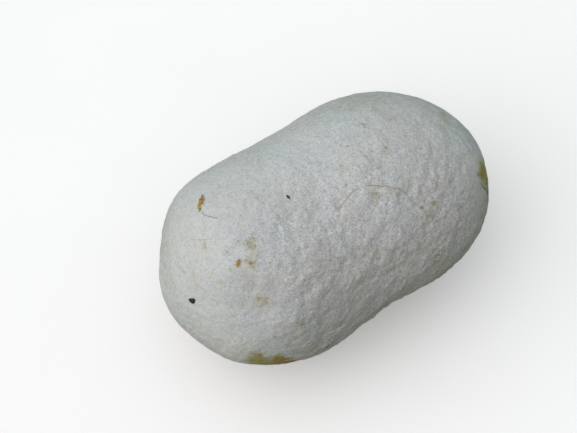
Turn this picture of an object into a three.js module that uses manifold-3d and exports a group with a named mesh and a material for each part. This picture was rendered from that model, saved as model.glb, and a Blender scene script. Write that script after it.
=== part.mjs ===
// A silkworm cocoon: one closed, slightly waisted body of felted silk, lying on its side.
// Millimetres, +Z up. The long axis runs along +X, the body rests on z = 0, and the origin
// is the middle of its bounding box, at the bottom.
import * as THREE from 'three';
import { mergeVertices } from 'three/addons/utils/BufferGeometryUtils.js';
import Module from 'manifold-3d';

// ---- driving dimensions (mm) ----
const HALF_LENGTH = 17.21; // from the middle to either rounded end
// Girth along the body, as Legendre terms of t = x / HALF_LENGTH. The radius is this sum times
// sqrt(1 - t * t): the left lobe is about 20.7 across, the waist 20.1 and the right lobe 20.4.
const GIRTH = [11.32, 0.019, 1.393, 0.475, -1.299, 0.292, 0.139, 0.127, -0.094];
// How far the middle line wanders sideways (y) along the body, as Legendre terms of t.
const SIDEWAYS = [0, 0, -0.201, -0.286, -0.039, 0.285, 0.017, -0.21];
const TILT = -0.3129; // the ends' drop and rise, so that both lobes lie level
const FLAT_BELOW = 10.083; // the resting plane, below the middle line
const LENGTH_STEPS = 44; // rings from end to end
const ROUND_STEPS = 70; // points round each ring
// Low swells and dips where the spun wall bulges unevenly: centre x, y, z, height, spread.
const SWELLS = [
  [11.5, -8.9, -1.5, -0.045, 1.9],
  [4.6, -9.4, -3.1, 0.06, 1.9],
  [0.5, -9.6, -2.7, -0.096, 1.9],
  [-3.9, -10, -2.8, 0.069, 1.9],
  [-6.8, -10.1, -2.9, 0.018, 1.9],
  [-9.2, -9.6, -2.9, -0.081, 1.9],
  [-11.6, -8.1, -3.7, 0.04, 1.9],
  [-14.5, -5.6, -3.1, 0.021, 1.9],
  [-16.6, -2.2, -1.7, -0.035, 1.9],
  [-16.8, 2.2, 0.1, 0.047, 1.9],
  [-14.7, 6.2, 1.3, -0.071, 1.9],
  [-12.5, 8.1, 2.9, 0.04, 1.9],
  [-9.6, 9.1, 4, 0.037, 1.9],
  [-6.4, 9.4, 4.1, -0.074, 1.9],
  [-3.7, 9.3, 4.1, 0.04, 1.9],
  [0.1, 9.3, 4, 0.014, 1.9],
  [4.2, 9.7, 3.9, -0.02, 1.9],
  [10.6, 7.8, 4.8, 0.017, 1.9],
  [16.2, 1.3, 3.4, 0.016, 1.9],
  [16.5, -3, 1.9, -0.028, 1.9],
  [14.5, -6.7, 0, 0.047, 1.9],
  [17, 1.7, -0.3, 0.122, 2.4],
  [14.5, 5.3, -3.8, 0.068, 2.9],
  [13.5, -3.6, -6.9, -0.12, 1.9],
  [11.6, 2.6, 8.2, 0.116, 1.9],
  [10.6, 9.1, -2.2, -0.087, 2.9],
  [8.1, 7.3, -7.2, 0.072, 1.9],
  [7.1, -6.2, -7.9, 0.086, 1.9],
  [6.1, -8, 5.7, -0.094, 2.4],
  [1.7, 5.7, -8.5, 0.113, 2.9],
  [1.2, 1.9, 9.9, -0.05, 2.4],
  [0.7, -7.8, -6.2, -0.063, 1.9],
  [0.2, 10.1, -0.8, 0.054, 2.4],
  [-0.2, -6.8, 7.4, -0.091, 1.9],
  [-5.2, 3.7, 9.7, 0.091, 2.4],
  [-6.1, 9.7, -2.9, -0.07, 2.4],
  [-6.6, -5.4, 9.1, 0.065, 1.9],
  [-8.1, -10.2, 1.4, 0.05, 2.4],
  [-11.6, 5.2, 7.7, 0.062, 2.9],
  [-12.5, 7.4, -3.9, 0.12, 1.9],
  [-13.5, -3.2, -6.7, -0.118, 2.4],
  [-14.5, -6.2, 2.5, 0.109, 2.4],
  [-15.5, 1.2, 5.3, -0.093, 1.9],
  [-0.7, 0.1, -10.1, -0.06, 2.4],
  [-6.6, 0.3, -10.3, 0.02, 2.4],
  // soft bumps and dents of the upper side
  [2.73, -2.95, 9.52, 0.116, 2.2],
  [-11.57, -6.55, 6.52, -0.105, 1.3],
  [-3.87, -1.15, 10.32, -0.11, 2.2],
  [3.43, 2.25, 9.82, 0.118, 2.2],
  [-5.77, -9.85, 3.92, -0.101, 2.2],
  [3.43, -6.15, 7.72, 0.096, 2.2],
  [-11.67, -1.35, 9.12, 0.122, 2.2],
  [-13.87, -7.35, 1.22, 0.148, 1.3],
  [10.23, 0.45, 9.32, -0.121, 2.2],
  [-6.17, 2.15, 10.32, -0.095, 2.2],
  [-1.67, -3.15, 9.72, -0.07, 1.3],
  [2.23, -0.95, 9.92, 0.093, 1.3],
  [-10.17, -8.55, 4.92, 0.083, 1.3],
  [10.93, -4.15, 8.02, -0.092, 1.3],
  [-6.17, -4.85, 9.42, 0.066, 1.3],
  [-2.27, 2.95, 9.82, 0.122, 1.3],
  [2.23, 4.55, 9.02, 0.109, 2.2],
  [5.23, -7.45, 6.32, 0.112, 2.2],
  [0.33, -5.45, 8.32, 0.113, 1.3],
  [-11.77, -2.85, 8.62, 0.09, 1.3],
  [-6.37, -2.45, 10.22, -0.07, 1.3],
  [-4.27, -10.15, 2.62, -0.102, 2.2],
  [14.73, -2.95, 5.42, 0.15, 2.2],
  [-13.87, -7.35, 1.22, 0.133, 2.2],
  [-3.17, -6.85, 7.82, -0.085, 1.3],
  [10.73, 2.35, 8.82, -0.135, 2.2],
  [3.73, -2.65, 9.62, 0.107, 2.2],
  [-11.47, 3.35, 8.82, 0.138, 2.2],
  [-11.47, -2.35, 9.02, 0.108, 2.2],
  [6.53, -8.45, 4.82, 0.087, 1.3],
  [4.03, -6.45, 7.42, 0.079, 1.3],
  [10.53, -7.95, 4.72, -0.103, 1.3],
  [-3.67, -2.15, 10.12, -0.114, 2.2],
  [-14.07, -6.45, 3.62, -0.1, 1.3],
  [-9.67, -6.45, 7.72, -0.076, 1.3],
  [-15.27, -2.75, 5.22, -0.1, 1.3],
  [14.73, -2.95, 5.42, 0.126, 1.3],
  [0.53, 4.55, 9.02, 0.104, 2.2],
  [-0.77, -8.75, 5.02, -0.053, 1.3],
  [4.43, 3.85, 9.42, 0.08, 2.2],
  [-5.87, -0.05, 10.52, -0.103, 2.2],
  [-4.57, -9.25, 5.02, -0.088, 2.2],
  [-0.67, -0.15, 10.12, -0.084, 1.3],
  [2.63, -0.25, 10.02, 0.137, 2.2],
  [6.13, -4.55, 8.82, 0.073, 1.3],
  [-11.77, -6.95, 5.82, -0.103, 1.3],
  [5.93, 7.45, 7.12, -0.127, 1.3],
  [-12.37, -2.45, 8.42, 0.1, 1.3],
  [-9.47, -4.55, 9.02, 0.09, 1.3],
  [-14.47, -6.85, 0.72, 0.129, 2.2],
  [-11.27, 2.15, 9.22, 0.133, 1.3],
  [-1.07, -3.45, 9.52, -0.091, 1.3],
  [8.83, -9.45, 2.12, -0.103, 1.3],
  [10.03, 4.05, 8.52, -0.114, 2.2],
  [-8.57, -10.05, 2.12, -0.084, 1.3],
  [-0.97, -7.55, 6.62, 0.054, 1.3],
  [14.13, -3.75, 5.62, 0.113, 1.3],
  [-4.47, 2.05, 10.22, -0.081, 1.3],
  [-11.47, 3.35, 8.82, 0.143, 1.3],
  [-11.97, -1.85, 8.82, 0.116, 1.3],
  [-3.27, -9.95, 2.92, -0.108, 2.2],
  [-4.77, -8.05, 6.72, -0.056, 1.3],
  [2.03, -2.55, 9.62, 0.117, 2.2],
  [-2.37, 4.15, 9.32, 0.094, 1.3],
  [-16.47, -0.25, 3.52, 0.087, 1.3],
  [-14.47, -6.85, 0.72, 0.122, 1.3],
  [14.93, -1.25, 5.72, 0.131, 2.2],
  [-11.27, -6.15, 7.12, -0.087, 1.3],
  [3.33, -9.65, 1.62, 0.093, 2.2],
  [3.53, -7.45, 6.42, 0.071, 1.3],
  [1.63, 4.95, 8.82, 0.109, 2.2],
  [-4.37, -1.85, 10.32, -0.11, 2.2],
  [7.43, 4.25, 9.12, 0.063, 1.3],
  [3.03, -5.25, 8.32, 0.089, 2.2],
  [-13.47, 1.45, 7.72, -0.1, 1.3],
  [-7.37, -2.65, 10.12, -0.07, 1.3],
  [-2.77, 2.15, 10.02, 0.071, 1.3],
  [-5.97, -10.15, 2.92, -0.099, 2.2],
  [8.33, 7.05, 7.02, -0.111, 2.2],
  [12.73, -2.95, 7.42, -0.064, 1.3],
];
const SPINE = 6.5; // the swells push away from a line this long each way from the middle

// Sum of Legendre terms at t.
function legendre(t, terms) {
  let before = 1;
  let now = t;
  let sum = terms[0] + (terms[1] ?? 0) * t;
  for (let n = 2; n < terms.length; n++) {
    const next = ((2 * n - 1) * t * now - (n - 1) * before) / n;
    before = now;
    now = next;
    sum += terms[n] * now;
  }
  return sum;
}

// The round body before the swells: half its outline, from end to end, turned about the long axis.
function turnedBody() {
  const outline = [];
  for (let i = 0; i <= LENGTH_STEPS; i++) {
    const t = i === 0 ? -1 : i === LENGTH_STEPS ? 1 : -Math.cos((Math.PI * i) / LENGTH_STEPS);
    const radius = Math.sqrt(Math.max(0, 1 - t * t)) * legendre(t, GIRTH);
    outline.push(new THREE.Vector2(radius, t * HALF_LENGTH));
  }
  const geometry = new THREE.LatheGeometry(outline, ROUND_STEPS);
  geometry.rotateZ(-Math.PI / 2);
  return geometry;
}

// Bends the turned body along its wandering middle line, then adds the swells.
function shapeWall(geometry) {
  const position = geometry.getAttribute('position');
  const p = new THREE.Vector3();
  const out = new THREE.Vector3();
  for (let i = 0; i < position.count; i++) {
    p.fromBufferAttribute(position, i);
    const t = p.x / HALF_LENGTH;
    p.y += legendre(t, SIDEWAYS);
    p.z += TILT * t;
    out.copy(p);
    out.x -= THREE.MathUtils.clamp(p.x, -SPINE, SPINE);
    out.normalize();
    let height = 0;
    for (const [x, y, z, rise, spread] of SWELLS) {
      const far = (p.x - x) ** 2 + (p.y - y) ** 2 + (p.z - z) ** 2;
      height += rise * Math.exp(-far / (2 * spread * spread));
    }
    p.addScaledVector(out, height);
    position.setXYZ(i, p.x, p.y, p.z);
  }
  return geometry;
}

const wasm = await Module();
wasm.setup();

// A closed solid of a geometry whose shared vertices are merged.
function solidOf(geometry) {
  const bare = geometry.clone();
  bare.deleteAttribute('normal');
  bare.deleteAttribute('uv');
  const merged = mergeVertices(bare, 1e-4);
  const corners = Array.from(merged.index.array);
  const faces = [];
  for (let i = 0; i < corners.length; i += 3) {
    const [a, b, c] = corners.slice(i, i + 3);
    if (a !== b && b !== c && c !== a) faces.push(a, b, c);
  }
  return new wasm.Manifold(
    new wasm.Mesh({
      numProp: 3,
      vertProperties: Float32Array.from(merged.getAttribute('position').array),
      triVerts: Uint32Array.from(faces),
    }),
  );
}

// The body, with the flat spots that it rests on cut into the underside of both lobes.
const body = solidOf(shapeWall(turnedBody()));
const ground = new THREE.BoxGeometry(4 * HALF_LENGTH, 4 * HALF_LENGTH, 10);
ground.translate(0, 0, -FLAT_BELOW - 5);
const lying = body.subtract(solidOf(ground)).getMesh();

const cocoonGeometry = new THREE.BufferGeometry();
cocoonGeometry.setAttribute('position', new THREE.BufferAttribute(new Float32Array(lying.vertProperties), 3));
cocoonGeometry.setIndex(Array.from(lying.triVerts));
cocoonGeometry.computeBoundingBox();
const middle = cocoonGeometry.boundingBox.getCenter(new THREE.Vector3());
cocoonGeometry.translate(-middle.x, -middle.y, FLAT_BELOW);
cocoonGeometry.computeVertexNormals();

const silk = new THREE.MeshStandardMaterial({ name: 'silk', color: 0xe6e6df, roughness: 0.85, metalness: 0 });
const cocoonMesh = new THREE.Mesh(cocoonGeometry, silk);
cocoonMesh.name = 'cocoon';

const model = new THREE.Group();
model.name = 'silk_cocoon';
model.add(cocoonMesh);
export default model;
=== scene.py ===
"""A white silkworm cocoon on a plain pale floor.

The skin is one fine mesh of the cocoon's shape, with its swells, crepe bumps and creases as geometry.
Silk filaments, hairs, a flake and specks of grit lie on it as mesh of their own.
"""

import math

import bpy
import numpy as np
from mathutils import Matrix, Vector
from mathutils.bvhtree import BVHTree


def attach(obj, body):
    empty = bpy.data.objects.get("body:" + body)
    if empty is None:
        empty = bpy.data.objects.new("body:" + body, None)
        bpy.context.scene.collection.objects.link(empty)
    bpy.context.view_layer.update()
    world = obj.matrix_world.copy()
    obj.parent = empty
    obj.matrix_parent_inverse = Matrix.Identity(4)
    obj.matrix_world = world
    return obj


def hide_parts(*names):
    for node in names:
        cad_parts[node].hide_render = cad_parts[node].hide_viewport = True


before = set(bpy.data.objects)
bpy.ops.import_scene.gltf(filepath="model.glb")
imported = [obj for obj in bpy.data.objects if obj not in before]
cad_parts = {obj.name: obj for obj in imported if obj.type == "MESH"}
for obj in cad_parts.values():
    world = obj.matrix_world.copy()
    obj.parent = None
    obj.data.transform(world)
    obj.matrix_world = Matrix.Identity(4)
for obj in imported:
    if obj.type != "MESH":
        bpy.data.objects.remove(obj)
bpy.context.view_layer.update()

MM = 0.001

# ---------------------------------------------------------------- the cocoon's shape, in mm
# The same driving dimensions as the CAD body.
HALF_LENGTH = 17.21
GIRTH = [11.32, 0.019, 1.393, 0.475, -1.299, 0.292, 0.139, 0.127, -0.094]
SIDEWAYS = [0, 0, -0.201, -0.286, -0.039, 0.285, 0.017, -0.21]
TILT = -0.3129
SPINE = 6.5
SWELLS = np.array([
    [11.5, -8.9, -1.5, -0.045, 1.9], [4.6, -9.4, -3.1, 0.06, 1.9], [0.5, -9.6, -2.7, -0.096, 1.9],
    [-3.9, -10, -2.8, 0.069, 1.9], [-6.8, -10.1, -2.9, 0.018, 1.9], [-9.2, -9.6, -2.9, -0.081, 1.9],
    [-11.6, -8.1, -3.7, 0.04, 1.9], [-14.5, -5.6, -3.1, 0.021, 1.9], [-16.6, -2.2, -1.7, -0.035, 1.9],
    [-16.8, 2.2, 0.1, 0.047, 1.9], [-14.7, 6.2, 1.3, -0.071, 1.9], [-12.5, 8.1, 2.9, 0.04, 1.9],
    [-9.6, 9.1, 4, 0.037, 1.9], [-6.4, 9.4, 4.1, -0.074, 1.9], [-3.7, 9.3, 4.1, 0.04, 1.9],
    [0.1, 9.3, 4, 0.014, 1.9], [4.2, 9.7, 3.9, -0.02, 1.9], [10.6, 7.8, 4.8, 0.017, 1.9],
    [16.2, 1.3, 3.4, 0.016, 1.9], [16.5, -3, 1.9, -0.028, 1.9], [14.5, -6.7, 0, 0.047, 1.9],
    [17, 1.7, -0.3, 0.122, 2.4], [14.5, 5.3, -3.8, 0.068, 2.9], [13.5, -3.6, -6.9, -0.12, 1.9],
    [11.6, 2.6, 8.2, 0.116, 1.9], [10.6, 9.1, -2.2, -0.087, 2.9], [8.1, 7.3, -7.2, 0.072, 1.9],
    [7.1, -6.2, -7.9, 0.086, 1.9], [6.1, -8, 5.7, -0.094, 2.4], [1.7, 5.7, -8.5, 0.113, 2.9],
    [1.2, 1.9, 9.9, -0.05, 2.4], [0.7, -7.8, -6.2, -0.063, 1.9], [0.2, 10.1, -0.8, 0.054, 2.4],
    [-0.2, -6.8, 7.4, -0.091, 1.9], [-5.2, 3.7, 9.7, 0.091, 2.4], [-6.1, 9.7, -2.9, -0.07, 2.4],
    [-6.6, -5.4, 9.1, 0.065, 1.9], [-8.1, -10.2, 1.4, 0.05, 2.4], [-11.6, 5.2, 7.7, 0.062, 2.9],
    [-12.5, 7.4, -3.9, 0.12, 1.9], [-13.5, -3.2, -6.7, -0.118, 2.4], [-14.5, -6.2, 2.5, 0.109, 2.4],
    [-15.5, 1.2, 5.3, -0.093, 1.9], [-0.7, 0.1, -10.1, -0.06, 2.4], [-6.6, 0.3, -10.3, 0.02, 2.4],
    # soft bumps and dents of the upper side
    [2.73, -2.95, 9.52, 0.116, 2.2], [-11.57, -6.55, 6.52, -0.105, 1.3], [-3.87, -1.15, 10.32, -0.11, 2.2],
    [3.43, 2.25, 9.82, 0.118, 2.2], [-5.77, -9.85, 3.92, -0.101, 2.2], [3.43, -6.15, 7.72, 0.096, 2.2],
    [-11.67, -1.35, 9.12, 0.122, 2.2], [-13.87, -7.35, 1.22, 0.148, 1.3], [10.23, 0.45, 9.32, -0.121, 2.2],
    [-6.17, 2.15, 10.32, -0.095, 2.2], [-1.67, -3.15, 9.72, -0.07, 1.3], [2.23, -0.95, 9.92, 0.093, 1.3],
    [-10.17, -8.55, 4.92, 0.083, 1.3], [10.93, -4.15, 8.02, -0.092, 1.3], [-6.17, -4.85, 9.42, 0.066, 1.3],
    [-2.27, 2.95, 9.82, 0.122, 1.3], [2.23, 4.55, 9.02, 0.109, 2.2], [5.23, -7.45, 6.32, 0.112, 2.2],
    [0.33, -5.45, 8.32, 0.113, 1.3], [-11.77, -2.85, 8.62, 0.09, 1.3], [-6.37, -2.45, 10.22, -0.07, 1.3],
    [-4.27, -10.15, 2.62, -0.102, 2.2], [14.73, -2.95, 5.42, 0.15, 2.2], [-13.87, -7.35, 1.22, 0.133, 2.2],
    [-3.17, -6.85, 7.82, -0.085, 1.3], [10.73, 2.35, 8.82, -0.135, 2.2], [3.73, -2.65, 9.62, 0.107, 2.2],
    [-11.47, 3.35, 8.82, 0.138, 2.2], [-11.47, -2.35, 9.02, 0.108, 2.2], [6.53, -8.45, 4.82, 0.087, 1.3],
    [4.03, -6.45, 7.42, 0.079, 1.3], [10.53, -7.95, 4.72, -0.103, 1.3], [-3.67, -2.15, 10.12, -0.114, 2.2],
    [-14.07, -6.45, 3.62, -0.1, 1.3], [-9.67, -6.45, 7.72, -0.076, 1.3], [-15.27, -2.75, 5.22, -0.1, 1.3],
    [14.73, -2.95, 5.42, 0.126, 1.3], [0.53, 4.55, 9.02, 0.104, 2.2], [-0.77, -8.75, 5.02, -0.053, 1.3],
    [4.43, 3.85, 9.42, 0.08, 2.2], [-5.87, -0.05, 10.52, -0.103, 2.2], [-4.57, -9.25, 5.02, -0.088, 2.2],
    [-0.67, -0.15, 10.12, -0.084, 1.3], [2.63, -0.25, 10.02, 0.137, 2.2], [6.13, -4.55, 8.82, 0.073, 1.3],
    [-11.77, -6.95, 5.82, -0.103, 1.3], [5.93, 7.45, 7.12, -0.127, 1.3], [-12.37, -2.45, 8.42, 0.1, 1.3],
    [-9.47, -4.55, 9.02, 0.09, 1.3], [-14.47, -6.85, 0.72, 0.129, 2.2], [-11.27, 2.15, 9.22, 0.133, 1.3],
    [-1.07, -3.45, 9.52, -0.091, 1.3], [8.83, -9.45, 2.12, -0.103, 1.3], [10.03, 4.05, 8.52, -0.114, 2.2],
    [-8.57, -10.05, 2.12, -0.084, 1.3], [-0.97, -7.55, 6.62, 0.054, 1.3], [14.13, -3.75, 5.62, 0.113, 1.3],
    [-4.47, 2.05, 10.22, -0.081, 1.3], [-11.47, 3.35, 8.82, 0.143, 1.3], [-11.97, -1.85, 8.82, 0.116, 1.3],
    [-3.27, -9.95, 2.92, -0.108, 2.2], [-4.77, -8.05, 6.72, -0.056, 1.3], [2.03, -2.55, 9.62, 0.117, 2.2],
    [-2.37, 4.15, 9.32, 0.094, 1.3], [-16.47, -0.25, 3.52, 0.087, 1.3], [-14.47, -6.85, 0.72, 0.122, 1.3],
    [14.93, -1.25, 5.72, 0.131, 2.2], [-11.27, -6.15, 7.12, -0.087, 1.3], [3.33, -9.65, 1.62, 0.093, 2.2],
    [3.53, -7.45, 6.42, 0.071, 1.3], [1.63, 4.95, 8.82, 0.109, 2.2], [-4.37, -1.85, 10.32, -0.11, 2.2],
    [7.43, 4.25, 9.12, 0.063, 1.3], [3.03, -5.25, 8.32, 0.089, 2.2], [-13.47, 1.45, 7.72, -0.1, 1.3],
    [-7.37, -2.65, 10.12, -0.07, 1.3], [-2.77, 2.15, 10.02, 0.071, 1.3], [-5.97, -10.15, 2.92, -0.099, 2.2],
    [8.33, 7.05, 7.02, -0.111, 2.2], [12.73, -2.95, 7.42, -0.064, 1.3],
])
TO_FRAME = np.array([-0.03345, 0.00027, 10.083])  # from the middle line's frame to the part's

legval = np.polynomial.legendre.legval


def girth(t):
    return np.sqrt(np.maximum(0.0, 1 - t * t)) * legval(t, GIRTH)


def wall(t, angle):
    """Points of the smooth wall, (N, 3) mm in the part's frame, at t from -1 to 1 along the body and angle round it."""
    r = girth(t)
    p = np.stack([HALF_LENGTH * t, r * np.cos(angle) + legval(t, SIDEWAYS), r * np.sin(angle) + TILT * t], -1)
    out = p.copy()
    out[:, 0] -= np.clip(p[:, 0], -SPINE, SPINE)
    out /= np.linalg.norm(out, axis=1, keepdims=True)
    height = np.zeros(len(p))
    for x, y, z, rise, spread in SWELLS:
        far = ((p - (x, y, z)) ** 2).sum(1)
        height += rise * np.exp(-far / (2 * spread * spread))
    return p + out * height[:, None] + TO_FRAME


# ---------------------------------------------------------------- noise
_gradients = np.random.default_rng(4021).normal(size=(1024, 3))
_gradients /= np.linalg.norm(_gradients, axis=1, keepdims=True)


def _turn(seed):
    """A fixed random rotation, so that the octaves' lattices don't line up."""
    q, r = np.linalg.qr(np.random.default_rng(seed).normal(size=(3, 3)))
    return q * np.sign(np.diag(r))


def noise(p, cell, seed):
    """Smooth gradient noise, about -1 to 1, with lumps about cell mm across."""
    q = p @ _turn(seed).T / cell + seed * 7.31
    i = np.floor(q).astype(np.int64)
    f = q - i
    u = f * f * f * (f * (f * 6 - 15) + 10)
    total = np.zeros(len(p))
    for dx in (0, 1):
        for dy in (0, 1):
            for dz in (0, 1):
                key = ((i[:, 0] + dx) * 73856093) ^ ((i[:, 1] + dy) * 19349663) ^ ((i[:, 2] + dz) * 83492791) ^ (seed * 2654435761)
                g = _gradients[(key ^ (key >> 13)) & 1023]
                d = f - (dx, dy, dz)
                w = (u[:, 0] if dx else 1 - u[:, 0]) * (u[:, 1] if dy else 1 - u[:, 1]) * (u[:, 2] if dz else 1 - u[:, 2])
                total += w * (g * d).sum(1)
    return total * 1.7


def smoothstep(a, b, x):
    s = np.clip((x - a) / (b - a), 0, 1)
    return s * s * (3 - 2 * s)


def crumpled(p):
    """0 on the flatter -x end, 1 where the silk is crumpled."""
    return smoothstep(-11.5, -6.5, p[:, 0] - 5 * smoothstep(-2.5, 2.5, p[:, 1]))


def relief(p):
    """Height of the felted crepe over the smooth wall, in mm."""
    warp = np.stack([noise(p, 1.7, 61), noise(p, 1.7, 62), noise(p, 1.7, 63)], 1)
    q = p + 0.35 * warp
    # flatter at the -x end, most crumpled along the -y flank
    rough = 1.36 + crumpled(p) * (1.14 * smoothstep(5.5, -4, p[:, 1]) - 0.17)
    rough *= (1 + 0.3 * noise(p, 3.4, 13)) * (1 - 0.35 * smoothstep(10.5, 15.5, p[:, 0]))
    middle = 1 + 0.36 * smoothstep(-9, -3, p[:, 0]) * smoothstep(10, 4, p[:, 0]) * smoothstep(4, -3, p[:, 1])
    height = 0.036 * middle * noise(q, 1.25, 21)
    height += 0.036 * np.abs(noise(q, 0.85, 25))  # creases between rounded bumps
    height += 0.018 * noise(q, 0.62, 22)
    height += 0.013 * noise(q, 0.42, 23)
    height += 0.010 * noise(p, 0.33, 24)
    height += 0.036 * middle * noise(p, 2.3, 12)
    return height * rough + 0.040 * noise(p, 4.2, 11)  # and broad dents


# ---------------------------------------------------------------- mesh helpers
def mesh_object(name, points_mm, faces, smooth=True):
    mesh = bpy.data.meshes.new(name)
    points = np.asarray(points_mm, float) * MM
    faces = np.asarray(faces, np.int32)
    mesh.vertices.add(len(points))
    mesh.vertices.foreach_set("co", points.astype(np.float32).ravel())
    sides = faces.shape[1]
    mesh.loops.add(faces.size)
    mesh.loops.foreach_set("vertex_index", faces.ravel())
    mesh.polygons.add(len(faces))
    mesh.polygons.foreach_set("loop_start", np.arange(0, faces.size, sides, dtype=np.int32))
    mesh.polygons.foreach_set("use_smooth", np.full(len(faces), smooth))
    mesh.update(calc_edges=True)
    mesh.validate()
    piece = bpy.data.objects.new(name, mesh)
    bpy.context.scene.collection.objects.link(piece)
    return piece


def number_layer(piece, name, values):
    layer = piece.data.attributes.new(name, "FLOAT", "POINT")
    layer.data.foreach_set("value", np.asarray(values, np.float32))


def vertex_normals(points, faces):
    a, b, c = points[faces[:, 0]], points[faces[:, 1]], points[faces[:, 2]]
    n = np.cross(b - a, c - a)
    total = np.zeros_like(points)
    for k in range(3):
        for axis in range(3):
            total[:, axis] += np.bincount(faces[:, k], n[:, axis], len(points))
    return total / np.linalg.norm(total, axis=1, keepdims=True)


# ---------------------------------------------------------------- the skin
EDGE = 0.1545  # mm between neighbouring points


def skin_grid():
    """Rings of points a step apart along the body, each ring a point a step, joined by triangles."""
    t = -np.cos(np.linspace(0, math.pi, 6001))
    t[0], t[-1] = -1, 1
    x, r = HALF_LENGTH * t, girth(t)
    along = np.concatenate([[0], np.cumsum(np.hypot(np.diff(x), np.diff(r)))])
    rings = int(round(along[-1] / (EDGE * math.sqrt(3) / 2)))
    ring_t = np.interp(np.arange(rings + 1) / rings * along[-1], along, t)
    ts, angles, turns, starts = [np.array([-1.0])], [np.array([0.0])], [np.array([0.0])], [0]
    total = 1
    for i in range(1, rings):
        count = max(6, int(round(2 * math.pi * girth(ring_t[i]) / EDGE)))
        turn = (np.arange(count) + (0.5 if i % 2 else 0.0)) / count
        starts.append(total)
        total += count
        ts.append(np.full(count, ring_t[i]))
        angles.append(turn * 2 * math.pi)
        turns.append(turn)
    starts.append(total)
    ts.append(np.array([1.0]))
    angles.append(np.array([0.0]))
    turns.append(np.array([0.0]))
    faces = []
    for i in range(rings):
        low, high = turns[i], turns[i + 1]
        a0, b0, na, nb = starts[i], starts[i + 1], len(low), len(high)
        if na == 1:
            faces += [(a0, b0 + (k + 1) % nb, b0 + k) for k in range(nb)]
            continue
        if nb == 1:
            faces += [(b0, a0 + k, a0 + (k + 1) % na) for k in range(na)]
            continue
        j = k = 0
        while j < na or k < nb:
            next_a = low[j + 1] if j + 1 < na else low[(j + 1) % na] + 1
            next_b = high[k + 1] if k + 1 < nb else high[(k + 1) % nb] + 1
            if k >= nb or (j < na and next_a <= next_b):
                faces.append((a0 + j % na, a0 + (j + 1) % na, b0 + k % nb))
                j += 1
            else:
                faces.append((a0 + j % na, b0 + (k + 1) % nb, b0 + k % nb))
                k += 1
    return np.concatenate(ts), np.concatenate(angles), np.array(faces, np.int32)


grid_t, grid_angle, skin_faces = skin_grid()
smooth_points = wall(grid_t, grid_angle)
smooth_normals = vertex_normals(smooth_points, skin_faces)
if (smooth_normals * (smooth_points - (0, 0, 10))).sum() < 0:
    skin_faces = skin_faces[:, ::-1].copy()
    smooth_normals = -smooth_normals
skin_points = smooth_points + smooth_normals * relief(smooth_points)[:, None]
skin_points[:, 2] = 0.5 * (skin_points[:, 2] + np.sqrt(skin_points[:, 2] ** 2 + 0.05 ** 2))  # pressed flat where it rests

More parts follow.
